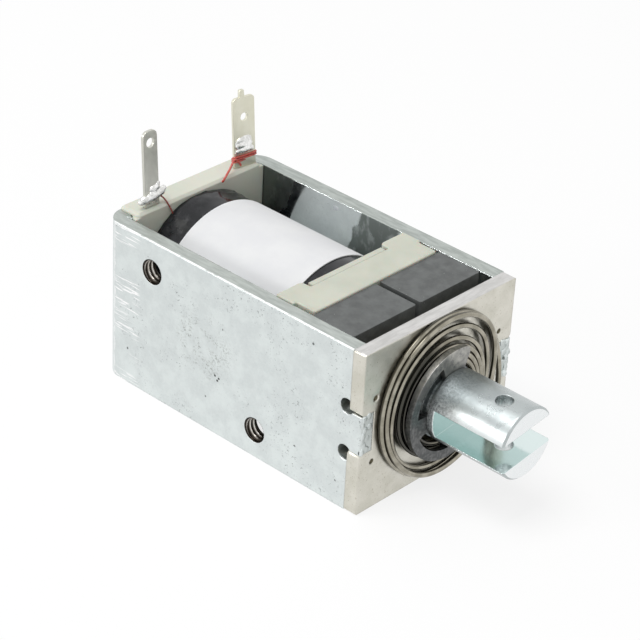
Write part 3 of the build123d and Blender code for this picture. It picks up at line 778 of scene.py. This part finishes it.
def blob(name, balls, voxel, lumps, material, replaces=()):
    """One closed lump grown from overlapping ellipsoids, each given as centre and three radii."""
    points, faces = [], []
    for centre, radii in balls:
        more_points, more_faces = ball(centre, radii, len(points))
        points += more_points
        faces += more_faces
    rough = bpy.data.meshes.new(name + "_rough")
    rough.from_pydata(points, [], faces)
    rough.validate()
    holder = bpy.data.objects.new(name + "_rough", rough)
    bpy.context.scene.collection.objects.link(holder)
    remesh = holder.modifiers.new("remesh", "REMESH")
    remesh.mode = "VOXEL"
    remesh.voxel_size = voxel
    smoother = holder.modifiers.new("smooth", "SMOOTH")
    smoother.factor = 0.6
    smoother.iterations = 6
    depsgraph = bpy.context.evaluated_depsgraph_get()
    mesh = bpy.data.meshes.new_from_object(holder.evaluated_get(depsgraph))
    bpy.data.objects.remove(holder)
    bpy.data.meshes.remove(rough)
    mesh.name = name
    for vertex in mesh.vertices:
        push = lumps * noise.noise(vertex.co * 1.7 + Vector((3, 5, 7)))
        vertex.co = vertex.co + vertex.normal * push
        vertex.co.y = max(-half_width, min(half_width, vertex.co.y))
        vertex.co *= MM
    for polygon in mesh.polygons:
        polygon.use_smooth = True
    mesh.update()
    new_object(name, mesh, material, "frame", replaces)


# Terminals: where each tab leaves the flange, which way it leans, and its width
TAB_SETBACK = 1.1
NEAR_TAB_Y, NEAR_LEAN, NEAR_TURN, NEAR_WIDTH = -9.24, 3.8, 0.0, 2.8
FAR_TAB_Y, FAR_LEAN, FAR_TURN, FAR_WIDTH = 10.26, 5.2, 8.2, 4.05
HALF_TAB = 0.25


def tab_place(y, lean, turn):
    """Function that turns across, up and forward distances on a tab into a place."""
    run = Vector((math.sin(math.radians(turn)), math.cos(math.radians(turn)), 0))
    forward = run.cross(Vector((0, 0, 1)))
    tilt = math.radians(lean)
    facing = forward * math.cos(tilt) + Vector((0, 0, math.sin(tilt)))
    up = facing.cross(run)
    foot = Vector((flange_front_x - TAB_SETBACK, y, flange_top_z))
    return lambda across, rise, out=0.0: foot + run * across + up * rise + facing * out


on_near_tab = tab_place(NEAR_TAB_Y, NEAR_LEAN, NEAR_TURN)
on_far_tab = tab_place(FAR_TAB_Y, FAR_LEAN, FAR_TURN)


def tab_outline(width, top, corner, edge, stub):
    """Outline of a tab, drawn in by edge. stub is the offset, width and height of one, or None."""
    half, foot, reach = width / 2, -0.6, corner - edge
    outline = [(-half + edge, foot), (half - edge, foot)]
    for side in (1, -1):
        for k in range(7):
            turn = math.pi / 2 * (k if side > 0 else 6 - k) / 6
            across = side * (half - corner + reach * math.cos(turn))
            outline.append((across, top - corner + reach * math.sin(turn)))
        if side > 0 and stub:
            offset, stub_width, stub_height = stub
            right, left = offset + stub_width / 2 - edge, offset - stub_width / 2 + edge
            stub_top = top + stub_height - edge
            outline += [(right, top - edge), (right - 0.05, stub_top - 0.1)]
            outline += [(right - 0.15, stub_top), (left + 0.15, stub_top)]
            outline += [(left + 0.05, stub_top - 0.1), (left, top - edge)]
    return outline


def make_tab(name, place, width, height, corner, hole_radius, hole_height, stub, replaced):
    """Stamped tab with rounded edges, a hole and perhaps a stub."""
    edge = 0.06
    hole = []
    for k in range(32):
        turn = -2 * math.pi * k / 32
        across = (hole_radius + edge) * math.cos(turn)
        hole.append((across, hole_height + (hole_radius + edge) * math.sin(turn)))
    curve = bpy.data.curves.new(name + "_outline", "CURVE")
    curve.dimensions = "2D"
    curve.fill_mode = "BOTH"
    curve.extrude = HALF_TAB - edge
    curve.bevel_depth = edge
    curve.bevel_resolution = 2
    for loop in (tab_outline(width, height, corner, edge, stub), hole):
        spline = curve.splines.new("POLY")
        spline.points.add(len(loop) - 1)
        for point, (across, rise) in zip(spline.points, loop):
            point.co = (across, rise, 0, 1)
        spline.use_cyclic_u = True
    holder = bpy.data.objects.new(name + "_outline", curve)
    bpy.context.scene.collection.objects.link(holder)
    depsgraph = bpy.context.evaluated_depsgraph_get()
    mesh = bpy.data.meshes.new_from_object(holder.evaluated_get(depsgraph))
    bpy.data.objects.remove(holder)
    bpy.data.curves.remove(curve)
    for vertex in mesh.vertices:
        across, rise, out = vertex.co
        vertex.co = place(across, rise, out) * MM
    mesh.shade_smooth()
    mesh.set_sharp_from_angle(angle=math.radians(50))
    new_object(name, mesh, FINISHES["tinned_brass"], "frame", [replaced])


def make_solder():
    """Solder lumps: a ragged collar with a horn on the near tab, a smooth coat on the far one."""
    solder = FINISHES["solder_tin"]
    near = [
        (on_near_tab(-1.3, 1.35, 0.15), (0.62, 1.15, 0.72)),
        (on_near_tab(0.0, 1.5, 0.25), (0.70, 1.7, 0.80)),
        (on_near_tab(1.5, 1.75, 0.2), (0.62, 1.1, 0.72)),
        (on_near_tab(2.35, 2.05, 0.15), (0.42, 0.5, 0.46)),
        (on_near_tab(0.5, 2.6, 0.2), (0.42, 1.1, 0.70)),
        (on_near_tab(1.25, 3.15, 0.15), (0.28, 0.42, 0.5)),
        (on_near_tab(-2.15, 1.15, 0.1), (0.46, 0.5, 0.5)),
        (on_near_tab(-0.2, 0.75, 0.15), (0.45, 1.5, 0.32)),
    ]
    blob("solder_collar_near", near, 0.08, 0.10, solder, ["solder_near"])
    far = [
        (on_far_tab(0.1, 2.75, 0.15), (0.50, 1.95, 0.68)),
        (on_far_tab(0.05, 3.5, 0.14), (0.46, 1.98, 0.85)),
        (on_far_tab(0.15, 4.2, 0.12), (0.38, 1.9, 0.85)),
        (on_far_tab(-0.9, 3.9, 0.12), (0.38, 1.0, 0.8)),
        (on_far_tab(1.2, 2.6, 0.1), (0.42, 0.7, 0.5)),
        (on_far_tab(-1.4, 2.4, 0.1), (0.38, 0.55, 0.42)),
    ]
    blob("solder_coat_far", far, 0.08, 0.04, solder, ["solder_far"])


def wire_piece(name, knots, radius, steps=10, replaces=()):
    """Round enamelled wire through knots."""
    points, faces = tube(through([Vector(k) for k in knots], steps), radius, 12, 2)
    mesh = mesh_of(name, points, faces)
    new_object(name, mesh, FINISHES["red_enamel"], "frame", replaces)


def make_leads():
    """Enamelled ends of the winding: wrapped round the far tab, hooked under the near collar."""
    near = [
        on_near_tab(0.9, 1.3, 0.4),
        (-30.9, -7.67, 28.33),
        (-30.5, -7.03, 27.42),
        (-30.02, -6.56, 26.2),
        (-29.8, -6.3, 25.3),
    ]
    wire_piece("lead_wire_near", near, 0.13, replaces=["lead_near"])
    wrap = []
    turns, wire, to_turn = 2.25, 0.16, 16
    reach_across, reach_out = FAR_WIDTH / 2 + wire * 0.8, HALF_TAB + wire
    for i in range(round(turns * to_turn) + 1):
        angle = 2 * math.pi * i / to_turn - math.pi
        c, s = math.cos(angle), math.sin(angle)
        across = reach_across * math.copysign(abs(c) ** 0.35, c)
        out = -reach_out * math.copysign(abs(s) ** 0.6, s)
        wrap.append(on_far_tab(across, 1.9 - 0.36 * i / to_turn + 0.12 * c, out))
    wire_piece("lead_wrap_far", wrap, wire, steps=3)
    far = [
        on_far_tab(-1.6, 1.25, 0.45),
        (-31.05, 7.73, 29.0),
        (-30.55, 6.33, 28.15),
        (-30.08, 4.83, 27.30),
        (-30.30, 4.50, 26.6),
    ]
    wire_piece("lead_wire_far", far, 0.18, replaces=["lead_far"])
    tail = [
        on_far_tab(-1.45, 1.3, 0.45),
        on_far_tab(-1.3, 0.9, 0.55),
        on_far_tab(-1.05, 0.35, 0.6),
    ]
    wire_piece("lead_tail_far", tail, 0.17)


def tape_outer_radius(x, from_rear, turn):
    """Radius of the bare tape, which has creases and bulges over the near lead by the flange."""
    covered_from, wrap_lap = 4.4, 0.1
    lead_at, lead_spread, lead_reach = 113, 17, 2.4
    if from_rear > covered_from - wrap_lap:
        return tape_radius - 0.01
    y, z = math.cos(turn), math.sin(turn)
    uncovered = max(0.0, 1 - from_rear / covered_from)
    crease = noise.noise(Vector((x * 0.35, y * 5.5, z * 5.5)))
    fine = noise.noise(Vector((x * 1.1 + 4, y * 14, z * 14)))
    fold = abs(noise.noise(Vector((x * 0.6 + 9, y * 3.1, z * 3.1))))
    pucker = 0.10 * crease + 0.04 * fine + 0.16 * max(0.0, 0.12 - fold) / 0.12
    off = (math.degrees(turn) - lead_at) / lead_spread
    bulge = (0.15 + 0.5 * math.exp(-off * off)) * math.exp(-((from_rear / lead_reach) ** 2))
    return tape_radius + uncovered**0.5 * pucker + bulge * max(0.0, z)


def make_tape():
    """Black tape round the winding, puckered beside the flange where the near lead goes in."""
    start_x, end_x = tape_low.x, tape_high.x
    around, along = 180, 60
    winding_radius = tape_radius - 0.4
    points, faces = [], []
    for outer in (True, False):
        for j in range(along + 1):
            x = start_x + (end_x - start_x) * j / along
            for k in range(around):
                turn = 2 * math.pi * k / around
                radius = tape_outer_radius(x, x - start_x, turn) if outer else winding_radius
                y, z = radius * math.cos(turn), axis_z + radius * math.sin(turn)
                points.append(Vector((x, y, z)))
    layer = (along + 1) * around
    for j in range(along):
        for k in range(around):
            n = (k + 1) % around
            a, b = j * around + k, j * around + n
            c, d = (j + 1) * around + n, (j + 1) * around + k
            faces.append((a, b, c, d))
            faces.append((layer + d, layer + c, layer + b, layer + a))
    for j in (0, along):
        for k in range(around):
            a, b = j * around + k, j * around + (k + 1) % around
            quad = (a, layer + a, layer + b, b)
            faces.append(quad if j == 0 else tuple(reversed(quad)))
    mesh = mesh_of("tape_film", points, faces)
    new_object("tape_film", mesh, FINISHES["black_tape"], "frame", ["outer_tape"])


def make_stakes():
    """Tongue ends spread over the front plate by staking, the far plate's pip and a small burr."""
    zinc = FINISHES["zinc_steel"]
    lowest, spacing, stake_x = axis_z - 2.7, 0.9, front_x - 0.05
    for name, side, reach in (("stake_near", -1, 0.30), ("stake_far", 1, 0.55)):
        lumps = []
        for k in range(7):
            z = lowest + spacing * k
            inset = 0.55 + 0.25 * math.sin(2.3 * k + side)
            size = reach * (0.8 + 0.35 * math.cos(1.9 * k))
            lumps.append(((stake_x, side * (half_width - inset), z), (size, 0.5, 0.62)))
            if k % 2 == 0:
                inner_y = side * (half_width - inset - 0.95)
                lumps.append(((stake_x, inner_y, z + 0.2), (size * 0.7, 0.62, 0.6)))
        blob(name, lumps, 0.1, 0.05, zinc)
    pip = [((-14.9, half_width - WALL + 0.05, 25.15), (0.75, 0.10, 0.45))]
    blob("plate_pip", pip, 0.05, 0.0, FINISHES["core_steel"])
    burr = [
        ((-31.7, -13.35, 26.5), (0.55, 0.35, 0.14)),
        ((-31.2, -13.45, 26.5), (0.4, 0.25, 0.12)),
    ]
    blob("bend_burr", burr, 0.06, 0.02, zinc)


# The photograph's camera, solved from the corners of the frame
CAMERA_PLACE = (198.42, -227.18, 199.07)
CAMERA_FORWARD = (-0.57102, 0.63843, -0.51608)
CAMERA_UP = (-0.38529, 0.34670, 0.85519)
CAMERA_LENS = 135.85


def make_camera():
    """Camera of the photograph."""
    camera = bpy.data.objects.new("camera", bpy.data.cameras.new("camera"))
    bpy.context.scene.collection.objects.link(camera)
    camera.data.lens = CAMERA_LENS
    camera.data.sensor_width = 36
    camera.data.clip_start = 0.01
    forward = Vector(CAMERA_FORWARD).normalized()
    right = forward.cross(Vector(CAMERA_UP)).normalized()
    up = right.cross(forward)
    turn = Matrix((right, up, -forward)).transposed().to_4x4()
    camera.matrix_world = Matrix.Translation(Vector(CAMERA_PLACE) * MM) @ turn
    bpy.context.scene.camera = camera


def add_lamp(name, place, aim, size, power):
    """Rectangular lamp that faces aim."""
    lamp = bpy.data.lights.new(name, "AREA")
    lamp.shape = "RECTANGLE"
    lamp.size, lamp.size_y = size
    lamp.energy = power
    holder = bpy.data.objects.new(name, lamp)
    holder.location = place
    holder.rotation_mode = "QUATERNION"
    holder.rotation_quaternion = (Vector(aim) - Vector(place)).to_track_quat("-Z", "Y")
    bpy.context.scene.collection.objects.link(holder)


def seen_directly(tree):
    """1 where the camera sees a surface straight on, in a reflection or through glass."""
    path = tree.nodes.new("ShaderNodeLightPath")
    value = path.outputs["Is Camera Ray"]
    for name in ("Is Glossy Ray", "Is Transmission Ray"):
        either = tree.nodes.new("ShaderNodeMath")
        either.operation = "MAXIMUM"
        tree.links.new(value, either.inputs[0])
        tree.links.new(path.outputs[name], either.inputs[1])
        value = either.outputs[0]
    return value


def make_paper():
    """White paper for the floor: mostly plain white when seen, so that only a soft shadow shows."""
    plain_share = 0.8
    paper = bpy.data.materials.new("floor_paper")
    paper.use_nodes = True
    tree = paper.node_tree
    tree.nodes.clear()
    output = tree.nodes.new("ShaderNodeOutputMaterial")
    lit = tree.nodes.new("ShaderNodeBsdfDiffuse")
    lit.inputs["Color"].default_value = (0.95, 0.95, 0.95, 1)
    plain = tree.nodes.new("ShaderNodeEmission")
    plain.inputs["Color"].default_value = (1, 1, 1, 1)
    plain.inputs["Strength"].default_value = 1.0
    share = tree.nodes.new("ShaderNodeMath")
    share.operation = "MULTIPLY"
    tree.links.new(seen_directly(tree), share.inputs[0])
    share.inputs[1].default_value = plain_share
    mixer = tree.nodes.new("ShaderNodeMixShader")
    tree.links.new(share.outputs[0], mixer.inputs[0])
    tree.links.new(lit.outputs[0], mixer.inputs[1])
    tree.links.new(plain.outputs[0], mixer.inputs[2])
    tree.links.new(mixer.outputs[0], output.inputs["Surface"])
    return paper


def make_floor():
    """White floor just below the part."""
    reach, drop = 3.0, 0.02
    corners = [(-reach, -reach, 0), (reach, -reach, 0), (reach, reach, 0), (-reach, reach, 0)]
    mesh = bpy.data.meshes.new("floor")
    mesh.from_pydata(corners, [], [(0, 1, 2, 3)])
    floor = bpy.data.objects.new("floor", mesh)
    floor.location.z = -drop * MM
    bpy.context.scene.collection.objects.link(floor)
    mesh.materials.append(make_paper())


def make_studio():
    """White surroundings and floor, with soft light from above and from the left."""
    light_strength, seen_strength = 0.5, 1.0
    world = bpy.data.worlds.new("studio")
    bpy.context.scene.world = world
    world.use_nodes = True
    tree = world.node_tree
    tree.nodes.clear()
    output = tree.nodes.new("ShaderNodeOutputWorld")
    chooser = tree.nodes.new("ShaderNodeMixShader")
    tree.links.new(seen_directly(tree), chooser.inputs[0])
    for socket, strength in ((1, light_strength), (2, seen_strength)):
        background = tree.nodes.new("ShaderNodeBackground")
        background.inputs["Color"].default_value = (1, 1, 1, 1)
        background.inputs["Strength"].default_value = strength
        tree.links.new(background.outputs[0], chooser.inputs[socket])
    tree.links.new(chooser.outputs[0], output.inputs["Surface"])
    make_floor()
    add_lamp("key", (-0.10, -0.25, 0.85), (0, 0, 0.01), (0.45, 0.45), 4.2)
    add_lamp("side", (-0.46, -0.62, 0.30), (0, 0, 0.015), (0.30, 0.10), 1.1)


dress_nodes()
for softened, edge_width in EDGE_WIDTHS.items():
    soften(softened, edge_width)
make_tab("tab_near", on_near_tab, NEAR_WIDTH, 12.1, 1.0, 0.75, 10.2, None, "terminal_near")
far_stub = (-0.3, 0.95, 1.2)
make_tab("tab_far", on_far_tab, FAR_WIDTH, 11.3, 0.7, 0.65, 8.05, far_stub, "terminal_far")
make_stakes()
make_spring()
for thread_name, hole in zip(("thread_rear", "thread_front"), THREADED_HOLES):
    make_thread(thread_name, *hole)
make_solder()
make_leads()
make_tape()
make_camera()
make_studio()

bpy.context.scene.view_settings.view_transform = "Standard"
